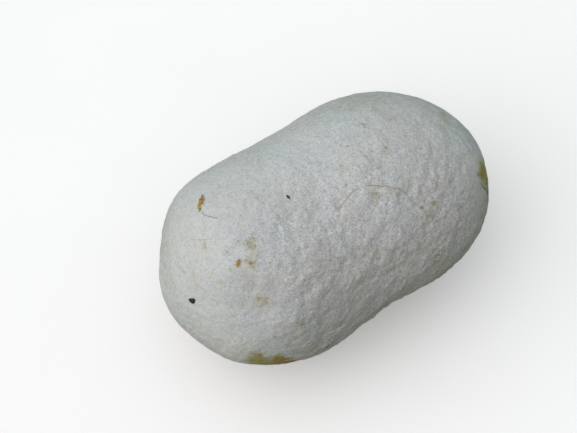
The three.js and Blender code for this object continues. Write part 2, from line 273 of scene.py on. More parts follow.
# Marks on the silk: x, y, z and radius in mm, then how much grey, olive, gold and brown. The small marks are dirt and
# stains; the broad ones, of radius 1.17 mm and more, are painted shade at the rim, olive-tinted round the outline and
# grey along the upper edge.
MARKS = [
    # painted shade at the rim: the olive marks of radius 1.17 to 2.44 mm in the next lines darken the whole outline
    # with a greenish tint
    (13.27, 1.98, 17.21, 2.05, 0, .1, 0, 0), (13.96, .41, 17, 1.69, 0, .1, 0, 0), (12.33, 3.54, 17.28, 1.83, 0, .08, 0, 0),
    (11, 4.99, 17.28, 1.57, 0, .06, 0, 0), (8.83, 5.73, 17.81, 1.84, 0, .05, 0, 0), (5.93, 6.02, 18.36, 1.55, 0, .05, 0, 0),
    (13.8, -1.84, 17.12, 1.21, 0, .07, 0, 0), (12.71, -7.82, 12.44, 2.06, 0, .12, 0, 0), (11.71, -8.78, 9.54, 2.44, 0, .14, 0, 0),
    (9.9, -9.44, 9.12, 2.24, .03, .18, .04, 0), (8.04, -9.77, 9.1, 2.39, .03, .16, 0, 0), (5.78, -9.89, 9.92, 2.05, 0, .12, 0, 0),
    (3.22, -9.87, 10.38, 1.99, .03, .13, 0, 0), (.59, -9.91, 10.31, 1.73, .05, .14, 0, 0), (-2.41, -10.19, 10.23, 1.92, 0, .12, 0, 0),
    (-5.36, -10.42, 10.33, 1.8, 0, .14, 0, 0), (-7.87, -10.32, 10.12, 1.71, 0, .18, .04, 0), (-14.07, -7.64, 11.97, 1.33, 0, .12, .05, 0),
    (-15.52, -5.52, 12.07, 1.59, 0, .06, .02, 0), (-16.54, -2.7, 12.39, 1.38, 0, .06, 0, 0), (-16.91, -.02, 12.72, 1.17, 0, .05, 0, 0),
    (-16.11, 2.8, 13.25, 1.3, 0, .07, 0, 0), (-14.71, 5.39, 13.56, 1.63, 0, .05, 0, 0), (2.33, 7.39, 17.3, 1.42, 0, .08, 0, 0),
    (-1.56, 7.06, 17.43, 1.34, 0, .05, 0, 0), (12.93, 2.7, 17.22, .9, 0, .16, 0, 0), (13.88, 1.15, 16.93, .74, 0, .11, .06, .06),
    (3.71, -8.57, 15.08, .81, .04, .1, 0, 0), (2.3, -8.53, 15.1, .68, .03, .12, .03, 0), (1.41, -8.74, 14.71, .69, .02, .12, 0, 0),
    (.15, -7.81, 16.28, .76, 0, .1, 0, 0), (-12.64, .58, 18.95, .4, 0, .06, .25, 0), (-12.72, .18, 18.92, .17, 0, .07, .2, 0),
    (-12.72, .87, 18.85, .2, 0, .02, .16, 0), (-9.18, -1.9, 20.17, .34, .02, .11, .49, 0), (-9.25, -2.29, 20.09, .29, .02, .18, .38, 0),
    (-9.13, -1.5, 20.23, .24, .02, .06, .31, 0), (-8.76, -1.82, 20.2, .22, 0, .07, .27, 0), (-9.65, -1.99, 20.1, .2, .02, .09, .22, 0),
    (-9.79, -1.52, 20.16, .3, .04, .03, .09, 0), (-9.35, -2.74, 19.98, .35, 0, .09, .18, 0), (-9.24, -1.92, 20.16, .74, 0, .04, .1, 0),
    (-9.52, -1.73, 20.16, .12, .9, .45, 0, .11), (-9.11, -1.93, 20.17, .11, .39, .56, 0, 0), (-9.28, -1.68, 20.19, .09, .28, .22, 0, 0),
    (-9.44, -1.47, 20.21, .11, .62, .06, 0, .06), (-9.74, -1.49, 20.17, .11, .5, .06, 0, 0), (-8.77, -1.59, 20.24, .11, .78, .17, 0, 0),
    (-9.43, -2.24, 20.08, .13, .11, .34, 0, 0), (-9.18, -2.34, 20.08, .1, .11, .28, 0, 0), (-10.23, -.89, 20.14, .09, .34, .11, 0, 0),
    (-10.07, -1.08, 20.15, .12, .67, .17, 0, 0), (-9.79, -1.16, 20.19, .09, .34, .06, 0, 0), (-10.33, -1.17, 20.1, .09, .28, .06, 0, 0),
    (-10.04, -1.29, 20.14, .08, .28, .06, 0, 0), (-10.52, -1.13, 20.06, .08, .22, 0, 0, 0), (-10.89, -1.24, 19.96, .09, .34, 0, 0, 0),
    (-10.68, -1.33, 20.01, .07, .22, 0, 0, 0), (-11.41, -1.36, 19.79, .12, .5, .09, 0, 0), (-11.35, -1.62, 19.79, .1, .45, 0, 0, 0),
    (-9.16, -1.38, 20.24, .09, .34, .22, 0, 0), (-8.89, -1.36, 20.26, .08, .28, .17, 0, 0), (-8.85, -1.89, 20.19, .09, .34, .28, 0, 0),
    (-9.8, -1.83, 20.11, .08, .28, .17, 0, 0), (-8.97, -2.22, 20.12, .09, .28, .34, 0, 0), (-9.48, -2.03, 20.12, .09, .22, .34, 0, 0),
    (-9.74, -2.2, 20.06, .09, .17, .28, 0, 0), (-9.55, -2.53, 20.01, .1, .17, .28, .11, 0), (-9.32, -2.46, 20.05, .14, 0, .17, .28, 0),
    (-9.39, -1.11, 20.25, .09, .22, .06, 0, 0), (-8.47, -1.76, 20.22, .11, .17, .06, 0, 0), (-8.47, -1.35, 20.28, .12, .25, .02, 0, 0),
    (-9.65, -2.83, 19.92, .12, .09, .22, .11, 0), (-10.03, -2.71, 19.9, .1, .06, .22, .17, 0), (-9.22, -3.07, 19.91, .19, .2, .36, 0, 0),
    (-9.5, -3.29, 19.81, .12, .28, .06, 0, 0), (-9.6, -3.78, 19.63, .11, .34, 0, 0, 0), (-8.55, -4.21, 19.62, .13, .47, 0, 0, 0),
    (-8.73, -4.27, 19.58, .09, .28, 0, 0, 0), (-8.71, -1.22, 20.29, .1, .39, 0, 0, 0), (-9.19, -.69, 20.3, .12, .22, 0, 0, 0),
    (-8.13, -1.59, 20.24, .13, .17, .11, 0, 0), (-10.89, -2.63, 19.73, .16, .56, 0, 0, .95), (-10.98, -2.74, 19.68, .21, .09, 0, .11, .92),
    (-11.14, -2.83, 19.6, .22, 0, 0, .28, .94), (-11.15, -2.63, 19.66, .17, 0, 0, .28, .69), (-11.26, -2.87, 19.55, .17, 0, 0, .34, .78),
    (-11.07, -2.69, 19.67, .39, 0, .04, .2, .27), (-11.28, -3.09, 19.45, .19, 0, 0, 0, .16), (-10.52, -2.92, 19.74, .22, 0, 0, .09, .12),
    (-10.3, -2.96, 19.77, .17, .11, .36, 0, .34), (-10.13, -3.28, 19.7, .16, 1.01, 0, 0, 1.01), (-10.14, -3.27, 19.7, .28, .06, 0, .34, .54),
    (-9.83, -3.41, 19.72, .23, 0, 0, .11, .52), (-10.22, -3.56, 19.57, .31, 0, .06, .56, .16), (-10.06, -3.03, 19.8, .18, 0, .18, .38, .11),
    (-9.98, -3.78, 19.54, .16, 0, .17, .34, 0), (-10.46, -3.46, 19.55, .16, 0, .28, .18, 0), (-9.94, -2.9, 19.86, .17, 0, .22, .34, 0),
    (-11.77, -2.78, 19.37, .41, 0, .11, .13, 0), (-12.01, -2.75, 19.26, .15, 0, 0, 0, .15), (-11.63, -3.36, 19.17, .25, .02, .13, 0, 0),
    (-10.85, -5.88, 17.43, .27, .11, .43, .11, .09), (-10.6, -6.21, 17.25, .25, .07, .11, .22, .29), (-10.68, -6.04, 17.38, .64, 0, .1, .34, .05),
    (-11.02, -5.89, 17.29, .35, .04, .22, .13, .04), (-12.63, -5.12, 16.89, .73, 0, .07, .1, 0), (-10.86, -4.4, 18.87, .69, .02, .08, .12, 0),
    (-10.86, -3.62, 19.35, .49, .03, .09, .11, 0), (-10.3, -6.17, 17.51, .25, .04, .16, .45, 0), (-10.81, -6.32, 16.97, .35, 0, .07, .25, 0),
    (-10.37, -6.35, 17.27, .14, .06, .34, 0, .06), (-10.44, -6.69, 16.88, .27, 0, 0, .2, 0), (-9.84, -6.77, 17.2, .33, 0, 0, .15, 0),
    (-11.01, -6.61, 16.52, .21, .09, .17, 0, 0), (-8.21, -8.98, 15.09, .19, .11, .2, 0, .39), (-8.25, -9.14, 14.75, .2, .13, .25, 0, .28),
    (-8.44, -9, 14.99, .3, 0, .13, .11, 0), (-10.92, -8.67, 14.1, .3, 0, .28, .06, 0), (-9.19, -9.46, 13.48, .21, 0, .36, 0, 0),
    (-11.32, -4.75, 18.31, .43, 0, .06, .16, 0), (-9.78, -7.01, 17.02, .1, .39, .06, 0, 0), (-9.31, -7.47, 16.82, .13, .34, 0, 0, 0),
    (-9.37, -7.6, 16.66, .12, .28, 0, 0, 0), (-7.26, -7.72, 17.15, .1, .39, .06, 0, 0), (-7.77, -8.24, 16.4, .11, .43, .06, 0, 0),
    (-8.05, -7.97, 16.71, .09, .43, 0, 0, 0), (-6.13, -8.58, 15.91, .11, .45, 0, 0, 0), (-10.84, -5.45, 17.92, .11, .34, 0, 0, 0),
    (-11.57, -5.23, 17.63, .1, .45, 0, 0, 0), (6.32, 5.65, 18.59, .19, .13, 0, 0, .34), (5.95, 3.29, 19.83, .12, .39, .17, 0, .11),
    (6.14, 3.14, 19.85, .1, .28, .17, 0, .11), (6.41, 3, 19.84, .11, .39, .17, 0, .11), (6.02, 2.92, 19.92, .28, 0, .06, .11, 0),
    (8.7, 2.45, 19.35, .17, .22, 0, 0, .31), (8.35, 2.65, 19.42, .48, 0, 0, .06, .11), (8.57, 3.92, 18.94, .78, 0, 0, 0, .06),
    (6.44, -.11, 20.18, .14, .22, .39, 0, 0), (6.55, -.22, 20.16, .1, .11, .34, 0, 0), (6.32, -.4, 20.19, .44, 0, .09, .16, 0),
    (3.44, 1.79, 20.36, .11, .62, .11, 0, 0), (4.27, -.07, 20.46, .17, .11, .06, .11, .17), (5.53, -1.28, 20.22, .1, .34, 0, 0, 0),
    (5.29, .08, 20.35, .1, .28, 0, 0, 0), (10.57, 4.44, 17.84, .34, .06, .16, 0, 0), (12.17, .64, 18.19, .37, 0, .18, 0, 0),
    (8.2, -.34, 19.8, .19, .13, 0, 0, .06), (8.05, -.67, 19.83, .17, .13, 0, 0, .03), (7.93, -2.44, 19.6, .51, .03, 0, 0, .06),
    (2.03, -.19, 20.51, .33, 0, 0, .09, .09), (-1.61, 2.01, 20.17, .11, .36, .09, 0, 0), (1.87, .18, 20.48, .31, .02, .18, .13, 0),
    (1.49, -.12, 20.44, .2, 0, .06, .13, 0), (.35, -1.3, 20.19, .12, .47, 0, 0, 0), (1.22, -1.5, 20.34, .11, .43, 0, 0, 0),
    (-.75, -.87, 20.07, .09, .56, .11, 0, 0), (-1.99, -.12, 20.08, .09, .34, 0, 0, 0), (.77, .74, 20.29, .08, .28, 0, 0, 0),
    (3.66, -1.79, 20.38, .12, .39, 0, 0, 0), (3.77, -2.35, 20.24, .09, .34, 0, 0, 0), (-5.49, .06, 20.21, .11, .5, 0, 0, 0),
    (-5.36, -.15, 20.19, .09, .39, 0, 0, 0), (-4.88, -1.86, 19.97, .11, .34, 0, 0, 0), (-3.31, .6, 20.15, .11, .17, .28, .11, 0),
    (-5.71, -.54, 20.19, .36, .02, .06, .08, 0), (-6.18, 1.79, 20.2, .23, .06, .2, .11, .03), (-5.27, 1.31, 20.17, .31, 0, .11, .2, 0),
    (-5.82, 1.7, 20.18, .53, 0, .02, .09, 0), (3.22, -3.5, 19.88, .16, .17, .45, 0, 0), (2.89, -3.54, 19.87, .33, 0, .18, .2, 0),
    (3.31, -3.83, 19.73, .26, 0, .13, .11, 0), (2.96, -3.61, 19.83, .57, 0, .1, .16, 0), (2.86, -3.13, 20.03, .34, 0, .11, .11, 0),
    (4.99, -3.93, 19.57, .5, 0, .02, .11, .11), (-.5, -2.78, 19.72, .31, 0, 0, .06, .13), (-.5, -3.23, 19.58, .21, 0, 0, .09, .09),
    (7.86, -6.27, 17.63, .3, .22, .56, .11, .06), (7.59, -6.3, 17.65, .42, .04, .25, .11, .02), (10.41, -7.33, 15.57, .43, .04, .27, 0, .03),
    (8.76, -8.79, 13.96, .75, .02, .12, 0, .08), (7.13, -9.27, 13.3, .65, .04, .2, 0, .06), (10.18, -9.33, 10.84, .65, .07, .4, 0, .03),
    (6.22, -9.54, 12.56, .6, .06, .25, .03, .06), (12.33, -6.96, 14.64, .65, .02, .09, 0, .06), (13.73, -6.99, 12.48, .54, 0, .22, 0, 0),
    (13.05, -7.82, 11.59, .58, 0, .22, 0, 0), (11.83, -8.63, 11.26, .56, 0, .25, 0, 0), (14.23, 1.44, 16.52, .64, .02, .27, 0, .04),
    (14, .14, 17, .56, 0, .16, 0, .11), (13.81, -1.14, 17.18, .5, 0, .13, 0, .02), (5.69, 9.47, 14.32, .81, .02, .2, 0, .11),
    (6.82, 9.29, 14.48, .81, 0, .13, 0, .08), (7.8, 8.76, 15.05, .81, 0, .16, 0, 0), (6.44, 5.76, 18.48, .48, 0, .02, .04, .11),
    (8.69, 2.87, 19.25, .61, 0, .03, .06, .11), (8.16, 4.27, 18.94, .73, 0, .03, .03, .08), (6.16, -.39, 20.21, .54, .02, .11, .07, .04),
    (1.66, -.05, 20.46, .61, 0, .07, .1, 0), (8.54, -.19, 19.71, .54, 0, 0, 0, .07), (-6.15, -10.47, 9.14, .83, .11, .43, 0, .03),
    (-6.85, -10.38, 8.67, .73, .06, .24, 0, 0), (-9.45, -9.86, 11.44, .47, .04, .29, 0, 0), (-9.91, -9.53, 12.53, .39, .03, .2, 0, 0),
    (-13.03, -3.06, 18.26, .34, .02, .04, .27, .11), (-14.6, -.51, 16.81, .53, 0, 0, .06, .08), (-14.93, -1.45, 16.18, .52, 0, 0, .07, .08),
    # painted shade at the rim: the grey marks of radius 1.27 to 2.72 mm in the next lines darken the upper edge
    (-9.88, 3.87, 19.55, .71, .05, 0, 0, .05), (-11.5, -1.23, 19.76, .26, .18, .16, 0, 0), (5.84, 7.75, 16.67, 2.42, .22, .04, 0, 0),
    (7.07, 7.35, 16.9, 2.72, .28, .05, 0, 0), (8.26, 6.75, 17.19, 2.67, .28, .05, 0, 0), (9.37, 6, 17.39, 2.07, .16, .03, 0, 0),
    (-13.48, 7.38, 12.57, 2.24, .24, .03, 0, 0), (-14.48, 5.68, 13.67, 2.24, .26, .03, 0, 0), (-12.56, 8.12, 12.98, 2.03, .16, .03, 0, 0),
    (-15.15, 4.12, 14.23, 1.65, .18, .03, 0, 0), (-16.39, 1.22, 13.65, 1.27, .14, .03, 0, 0), (-10.24, -9.68, 9.59, .51, 0, .05, .6, .5),
    (-9.87, -9.8, 9.46, .43, 0, .05, .3, .5), (7.12, -5.84, 18.12, .25, .43, 0, 0, 0), (6.88, -5.62, 18.34, .18, .34, 0, 0, 0),
    (6.55, -6.2, 17.93, .18, 1.01, .11, 0, .28), (6.88, -6.81, 17.3, .38, 0, .06, .31, .11), (7.11, -7.01, 17.06, .3, .02, .11, .34, .13),
    (6.67, -6.61, 17.53, .23, 0, 0, .25, .13), (7.09, -6.63, 17.45, .19, 0, .06, .22, .11), (7.24, -7.27, 16.76, .18, .34, .39, 0, 0),
    (.85, -6.36, 17.94, .2, .06, .4, 0, 0), (.57, -6.59, 17.7, .17, 0, .18, 0, 0), (6.83, -9.35, 13.13, .26, .17, .47, 0, .06),
    (6.12, -9.59, 12.37, .38, .06, .38, .06, 0), (6.43, -9.45, 12.84, .53, 0, .13, .06, 0), (-1.17, -5.03, 18.86, .12, .34, 0, 0, 0),
    (6.71, -4.27, 19.2, .35, 0, .09, .06, 0), (-2.28, -6.93, 17.51, .41, 0, .04, .07, .07), (-.65, -6.46, 17.85, .31, 0, .06, .13, .04),
    (.97, -7.33, 16.87, .36, 0, .03, .07, .08), (-4.38, -6.63, 18.09, .46, 0, .06, .13, 0), (-6.28, -8.32, 16.35, .4, 0, .04, .06, .08),
    (-1.45, -8.68, 15.07, .35, 0, .03, .11, .07), (4.12, -7.21, 17.24, .36, .02, .06, .06, .07), (5.11, -8.47, 15.31, .41, .02, .07, .11, .04),
    (2.48, -7.36, 16.96, .27, 0, .04, .11, .06), (3.94, -9.03, 14.09, .36, 0, .06, .16, .06), (-7.14, -6.96, 17.99, .37, 0, .04, .09, .03),
    (-5.47, -9.58, 13.54, .5, 0, .04, .07, .08), (-2.88, -9.28, 13.96, .49, .02, .06, .09, .06), (3.35, -2.98, 20.08, .35, 0, .07, .11, 0),
    (-12.94, -8.43, 11.74, .42, .05, .05, .55, .5), (-12.53, -8.66, 11.58, .43, .05, .08, .8, .32), (-13.22, -8.36, 11.21, .49, 0, .12, .85, .1),
    (-12.74, -8.62, 11.08, .56, .05, .08, 1.35, .15), (-12.31, -8.83, 10.75, .43, 0, .18, .95, .05), (-13.13, -8.41, 10.35, .62, .05, .1, 1.3, .2),
    (-12.71, -8.62, 10.21, .69, .1, .1, 1.5, .15), (-12.17, -8.85, 9.83, .64, .05, .18, 1.3, .15), (-11.79, -8.99, 9.47, .59, .05, .15, 1.1, .25),
    (-12.92, -8.27, 8.98, .73, .15, .2, 1.3, .1), (-12.39, -8.56, 8.83, .81, .2, .2, 1.5, .1), (-11.92, -8.83, 8.87, .77, .15, .2, 1.3, .2),
    (-12.92, -7.71, 7.37, .69, .1, .25, 1.1, 0), (-12.28, -8.1, 7.19, .81, .25, .25, 1.4, .1), (-11.62, -8.47, 7.09, .81, .25, .25, 1.4, .2),
    (-11.87, -9.04, 10.59, .41, .05, .25, .35, .05), (-11.44, -9.1, 9.06, .67, .1, .15, 1.3, .4), (-10.93, -9.41, 11.22, .4, .03, .22, .45, .22),
    (-11.25, -9.31, 10.71, .49, .03, .1, 1, .47), (-10.82, -9.49, 10.51, .49, .03, .08, 1.3, .4), (-11.21, -9.31, 9.92, .61, .03, .05, 1.5, .58),
    (-10.67, -9.52, 9.67, .59, .03, .05, 1.5, .58), (-11.23, -9.18, 8.96, .75, .07, .1, 1.5, .47), (-10.73, -9.39, 8.86, .72, .07, .1, 1.5, .61),
    (-10.17, -9.53, 8.44, .65, .03, .05, 1.3, .79), (-10.46, -9.62, 9.86, .41, 0, .08, .9, .43), (-10.92, -8.99, 7.58, .77, .1, .15, 1.4, .43),
    (-10.32, -9.11, 7.14, .73, .1, .15, 1.4, .58), (-9.91, -9.53, 8.06, .57, .03, .05, .9, .86), (-9.57, -9.62, 7.94, .49, 0, .05, .6, .94),
    (-9.27, -9.78, 8.21, .41, 0, .05, .3, .58), (-9.04, -9.93, 8.56, .33, 0, .05, .1, .36), (14.79, -4.39, 14.98, .47, .05, .15, 1, .05),
    (15.09, -4.35, 14.45, .6, .05, .15, 1.2, .05), (14.76, -4.64, 14.69, .58, .05, .05, 1.6, .15), (15.13, -4.57, 14, .74, .05, .1, 1.5, .1),
    (15.46, -4.51, 13.24, .92, .05, .25, 1.3, 0), (14.41, -4.73, 15.13, .32, 0, .2, .8, 0), (14.43, -5, 14.74, .55, .1, .1, 1.5, .12),
    (14.1, -5.14, 15.05, .37, .15, .25, .9, .1), (14.78, -4.98, 14.13, .68, .05, .2, 1.3, .05), (15.25, -4.9, 13.14, .88, .05, .35, .9, 0),
    (14.47, -5.24, 14.3, .51, .08, .25, 1, .05), (14.82, -5.29, 13.52, .7, .05, .4, .6, 0), (15.28, -5.15, 12.57, .92, .05, .5, .5, 0),
    (14.36, -5.56, 14.02, .44, .05, .35, .4, .05), (14.74, -5.62, 13.11, .6, .05, .5, .25, 0), (15.18, -5.51, 12.1, .92, .08, .6, .25, 0),
    (14.46, -5.84, 13.32, .4, 0, .4, .15, 0), (14.96, -5.94, 11.75, .92, .12, .6, .15, 0), (14.96, -6.2, 10.63, .92, .15, .5, .08, 0),
    (14.51, -6.75, 10.31, .92, .12, .4, .05, 0), (14, -7.25, 9.99, .92, .1, .3, .05, 0), (14.5, -4.19, 15.62, .46, 0, .22, .1, 0),
    (14.16, -4.02, 16.1, .32, 0, .16, .06, 0), (13.34, -3.12, 17.09, .28, .02, .09, 0, 0), (14.83, -3.91, 15.45, .38, 0, .2, .05, 0),
    (-13.2, -7.5, 6.3, .8, .2, .3, 1, 0), (-12.4, -7.9, 6.2, .85, .25, .25, 1.3, .05), (-11.6, -8.3, 6.4, .85, .25, .2, 1.4, .1),
    (-10.9, -8.7, 6.7, .8, .2, .15, 1.4, .4), (-10.3, -8.9, 6.6, .7, .15, .1, 1.2, .6),
]


def stains_and_rim_shade(points):
    """How much of each colour each point takes, 0 to 1: ragged blots round the marks, soaked-in stain and dirt, and
    painted shade at the rim.
    """
    ragged = 0.34 * noise(points, 0.45, 301) + 0.26 * noise(points, 0.24, 302)
    cover = np.zeros((4, len(points)))
    for x, y, z, radius, *amounts in MARKS:
        radius = max(radius, 0.12)
        box = (np.abs(points - (x, y, z)) < 2.3 * radius).all(1)
        near = np.nonzero(box)[0]
        far = np.sqrt(((points[near] - (x, y, z)) ** 2).sum(1)) / radius
        edge = (1.25, 0.45) if radius < 0.25 else (1.4, 0.2) if radius < 0.7 else (1.5, 0.0)  # broad tints fade out, small stains have an edge
        soft = smoothstep(*edge, far + ragged[near] * min(1, radius / 0.3))
        for k, amount in enumerate(amounts):
            cover[k, near] = np.maximum(cover[k, near], amount * soft)
    return cover


cocoon = mesh_object("cocoon_skin", skin_points, skin_faces)
# stain layers, which also carry the painted shade at the rim
for name, amounts in zip(("grey", "olive", "gold", "brown"), stains_and_rim_shade(smooth_points)):
    number_layer(cocoon, name, amounts)
felted = crumpled(smooth_points) * smoothstep(17, 8, smooth_points[:, 0])
number_layer(cocoon, "open_felt", felted * (0.35 + 0.65 * smoothstep(5, -5, smooth_points[:, 1])))
number_layer(cocoon, "warm", smoothstep(-14, -8, smooth_points[:, 0]) * smoothstep(17, 8, smooth_points[:, 0]) * smoothstep(7, -2, smooth_points[:, 1]))
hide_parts("cocoon")
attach(cocoon, "root")

skin_tree = BVHTree.FromPolygons([tuple(p) for p in skin_points], [tuple(f) for f in skin_faces.tolist()])


def on_skin(point):
    """The nearest point of the skin, in mm, and the skin's normal there."""
    place, normal, _, _ = skin_tree.find_nearest(Vector(point))
    return np.array(place), np.array(normal)


# ---------------------------------------------------------------- tubes
def tubes(paths, ups, radii, sides=3):
    """Points and triangles of closed tubes along paths (n, k, 3), each with a radius at every point (n, k)."""
    paths, ups = np.asarray(paths, float), np.asarray(ups, float)
    n, k, _ = paths.shape
    along = np.gradient(paths, axis=1)
    along /= np.linalg.norm(along, axis=2, keepdims=True)
    side = np.cross(along, ups)
    side /= np.linalg.norm(side, axis=2, keepdims=True)
    up = np.cross(side, along)
    turn = math.pi / 2 + np.arange(sides) * 2 * math.pi / sides
    ring = side[:, :, None] * np.cos(turn)[:, None] + up[:, :, None] * np.sin(turn)[:, None]
    points = paths[:, :, None] + ring * np.asarray(radii)[:, :, None, None]
    base = (np.arange(n) * k * sides)[:, None, None]
    j, s = np.meshgrid(np.arange(k - 1), np.arange(sides), indexing="ij")
    a, b = j * sides + s, j * sides + (s + 1) % sides
    c, d = a + sides, b + sides
    wall_faces = np.concatenate([np.stack([a, b, d], -1).reshape(-1, 3), np.stack([a, d, c], -1).reshape(-1, 3)])
    fan = np.arange(1, sides - 1)
    start = np.stack([0 * fan, fan + 1, fan], -1)
    end = np.stack([0 * fan, fan, fan + 1], -1) + (k - 1) * sides
    one = np.concatenate([wall_faces, start, end])
    return points.reshape(-1, 3), (one[None] + base).reshape(-1, 3)


def smooth_path(corners, steps):
    """A Catmull-Rom curve through corners, at steps evenly spaced points."""
    c = np.asarray(corners, float)
    c = np.vstack([2 * c[0] - c[1], c, 2 * c[-1] - c[-2]])
    fine = []
    for i in range(1, len(c) - 2):
        s = np.linspace(0, 1, 24, endpoint=False)[:, None]
        p0, p1, p2, p3 = c[i - 1:i + 3]
        fine.append(0.5 * (2 * p1 + (p2 - p0) * s + (2 * p0 - 5 * p1 + 4 * p2 - p3) * s ** 2 + (3 * p1 - p0 - 3 * p2 + p3) * s ** 3))
    fine = np.vstack(fine + [c[-2:-1]])
    length = np.concatenate([[0], np.cumsum(np.linalg.norm(np.diff(fine, axis=0), axis=1))])
    at = np.linspace(0, length[-1], steps)
    return np.stack([np.interp(at, length, fine[:, i]) for i in range(3)], 1)


def laid_tube(name, corners, steps, radius, lift, sides=6, taper=0.35):
    """A thin hair that follows the skin, radius and lift in mm."""
    path = smooth_path(corners, steps)
    ups = np.zeros_like(path)
    for i, p in enumerate(path):
        place, ups[i] = on_skin(p)
        rise = lift[0] + (lift[1] - lift[0]) * math.sin(math.pi * i / (steps - 1)) ** 2
        path[i] = place + ups[i] * (radius * 0.7 + rise)
    path[1:-1] = (path[:-2] + 2 * path[1:-1] + path[2:]) / 4
    s = np.linspace(0, 1, steps)
    radii = radius * (taper + (1 - taper) * np.minimum(1, np.minimum(s, 1 - s) * 8))
    points, faces = tubes(path[None], ups[None], radii[None], sides)
    piece = mesh_object(name, points, faces)
    number_layer(piece, "along", np.repeat(s, sides))
    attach(piece, "root")
    return piece


# ---------------------------------------------------------------- silk filaments
def spin(seed, count, steps, step, radius, curl):
    """Filaments that wander over the skin in loose curves, as the silkworm laid them."""
    rng = np.random.default_rng(seed)
    starts = rng.integers(0, len(skin_points), count)
    heading = rng.normal(size=(count, 3))
    bend = rng.normal(0, curl, count)
    paths, ups = np.zeros((count, steps, 3)), np.zeros((count, steps, 3))
    lifts = rng.uniform(-0.9, 0.6, count) * radius
    find = skin_tree.find_nearest
    for n in range(count):
        p = skin_points[starts[n]].copy()
        up = smooth_normals[starts[n]]
        go = heading[n] - (heading[n] @ up) * up
        go /= np.linalg.norm(go)
        curve = bend[n]
        wander = rng.normal(0, curl * 0.45, steps)
        for k in range(steps):
            place, normal, _, _ = find(p.tolist())
            normal = np.array(normal)
            up = up * 0.55 + normal * 0.45
            up /= math.sqrt(up @ up)
            paths[n, k] = place
            ups[n, k] = up
            go -= (go @ up) * up
            curve += wander[k]
            go += np.cross(up, go) * curve
            go /= math.sqrt(go @ go)
            p = paths[n, k] + go * step
    paths[:, 1:-1] = (paths[:, :-2] + 2 * paths[:, 1:-1] + paths[:, 2:]) / 4
    paths += ups * lifts[:, None, None]
    paths[:, :, 2] = np.maximum(paths[:, :, 2], radius)
    s = np.linspace(0, 1, steps)
    taper = np.minimum(1, 0.3 + 6 * np.minimum(s, 1 - s))
    radii = radius * rng.uniform(0.75, 1.25, count)[:, None] * taper[None]
    points, faces = tubes(paths, ups, radii)
    shade = np.repeat(rng.uniform(0, 1, count), steps * 3)
    return points, faces, shade


FILAMENTS = []
for number, (count, steps, step, radius, curl) in enumerate([(1900, 16, 0.17, 0.010, 0.30), (4200, 8, 0.14, 0.011, 0.5), (4200, 8, 0.12, 0.010, 0.6)], 1):
    points, faces, shade = spin(900 + number, count, steps, step, radius, curl)
    piece = mesh_object(f"silk_filaments_{number}", points, faces)
    number_layer(piece, "shade", shade)
    # stain layers, which also carry the painted shade at the rim
    for name, amounts in zip(("grey", "olive", "gold", "brown"), stains_and_rim_shade(points)):
        number_layer(piece, name, amounts)
    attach(piece, "root")
    FILAMENTS.append(piece)

# ---------------------------------------------------------------- hairs on the skin
golden_fibre = laid_tube("golden_fibre", [
    (0.73, -2.21, 20.11), (0.15, -2.28, 19.98), (-0.38, -2.35, 19.86), (-0.68, -2.53, 19.77), (-0.74, -2.82, 19.67), (-0.54, -2.94, 19.67),
    (-0.13, -2.80, 19.78), (0.38, -2.61, 19.93), (0.92, -2.44, 20.08), (1.49, -2.28, 20.22), (2.04, -2.35, 20.26), (2.73, -2.47, 20.26),
    (3.47, -2.85, 20.11), (4.14, -3.27, 19.92), (4.72, -3.68, 19.71), (5.26, -4.03, 19.50), (5.58, -4.31, 19.34), (5.78, -4.71, 19.11),
    (5.81, -5.12, 18.86), (5.95, -5.53, 18.56), (6.26, -5.92, 18.21), (6.56, -6.21, 17.91)],
    200, 0.031, (-0.012, 0.0))
dark_hair = laid_tube("dark_hair", [
    (-11.15, 3.56, 19.38), (-11.23, 3.29, 19.46), (-11.21, 3.00, 19.57), (-11.04, 2.69, 19.71), (-10.81, 2.36, 19.85), (-10.59, 2.08, 19.95), (-10.43, 1.92, 20.01)],
    50, 0.023, (0.0, 0.015), taper=0.6)
pale_hair = laid_tube("pale_hair", [
    (-13.25, 2.17, 18.07), (-12.94, 1.73, 18.52), (-12.35, 1.05, 19.16), (-11.76, 0.51, 19.59)],
    50, 0.014, (0.0, 0.01))
brown_hair = laid_tube("brown_hair", [(-12.53, 0.76, 19.03), (-12.60, 0.48, 19.00), (-12.70, 0.18, 18.94)], 20, 0.022, (-0.006, 0.0))
edge_hair = laid_tube("edge_hair", [
    (13.83, -5.66, 14.70), (14.00, -5.88, 14.12), (14.28, -5.98, 13.42), (14.72, -5.98, 12.35), (15.09, -5.93, 11.10)], 50, 0.034, (0.0, 0.01))

# ---------------------------------------------------------------- flake and grit
def local_axes(up, along):
    up = np.asarray(up, float) / np.linalg.norm(up)
    along = np.asarray(along, float)
    along = along - (along @ up) * up
    along /= np.linalg.norm(along)
    return along, np.cross(up, along), up


def grain_shape(detail, seed, lobes, rough):
    """A small lumpy grain: unit points and triangles of a round grid, pushed in and out."""
    rows, cols = detail, detail * 2
    v = np.arange(1, rows) / rows * math.pi
    w = np.arange(cols) / cols * 2 * math.pi
    vv, ww = np.meshgrid(v, w, indexing="ij")
    unit = np.stack([np.sin(vv) * np.cos(ww), np.sin(vv) * np.sin(ww), np.cos(vv)], -1).reshape(-1, 3)
    unit = np.vstack([unit, [[0, 0, 1], [0, 0, -1]]])
    top, bottom = len(unit) - 2, len(unit) - 1
    faces = []
    for i in range(rows - 2):
        for j in range(cols):
            a, b = i * cols + j, i * cols + (j + 1) % cols
            c, d = a + cols, b + cols
            faces += [(a, c, d), (a, d, b)]
    for j in range(cols):
        faces.append((top, j, (j + 1) % cols))
        faces.append((bottom, (rows - 2) * cols + (j + 1) % cols, (rows - 2) * cols + j))
    size = 1 + rough * noise(unit, 0.8, seed) + 0.5 * rough * noise(unit, 0.4, seed + 1)
    for direction, push in lobes:
        d = np.asarray(direction, float) / np.linalg.norm(direction)
        size += push * np.exp(-((unit - d) ** 2).sum(1) / 0.35)
    return unit * size[:, None], np.array(faces)


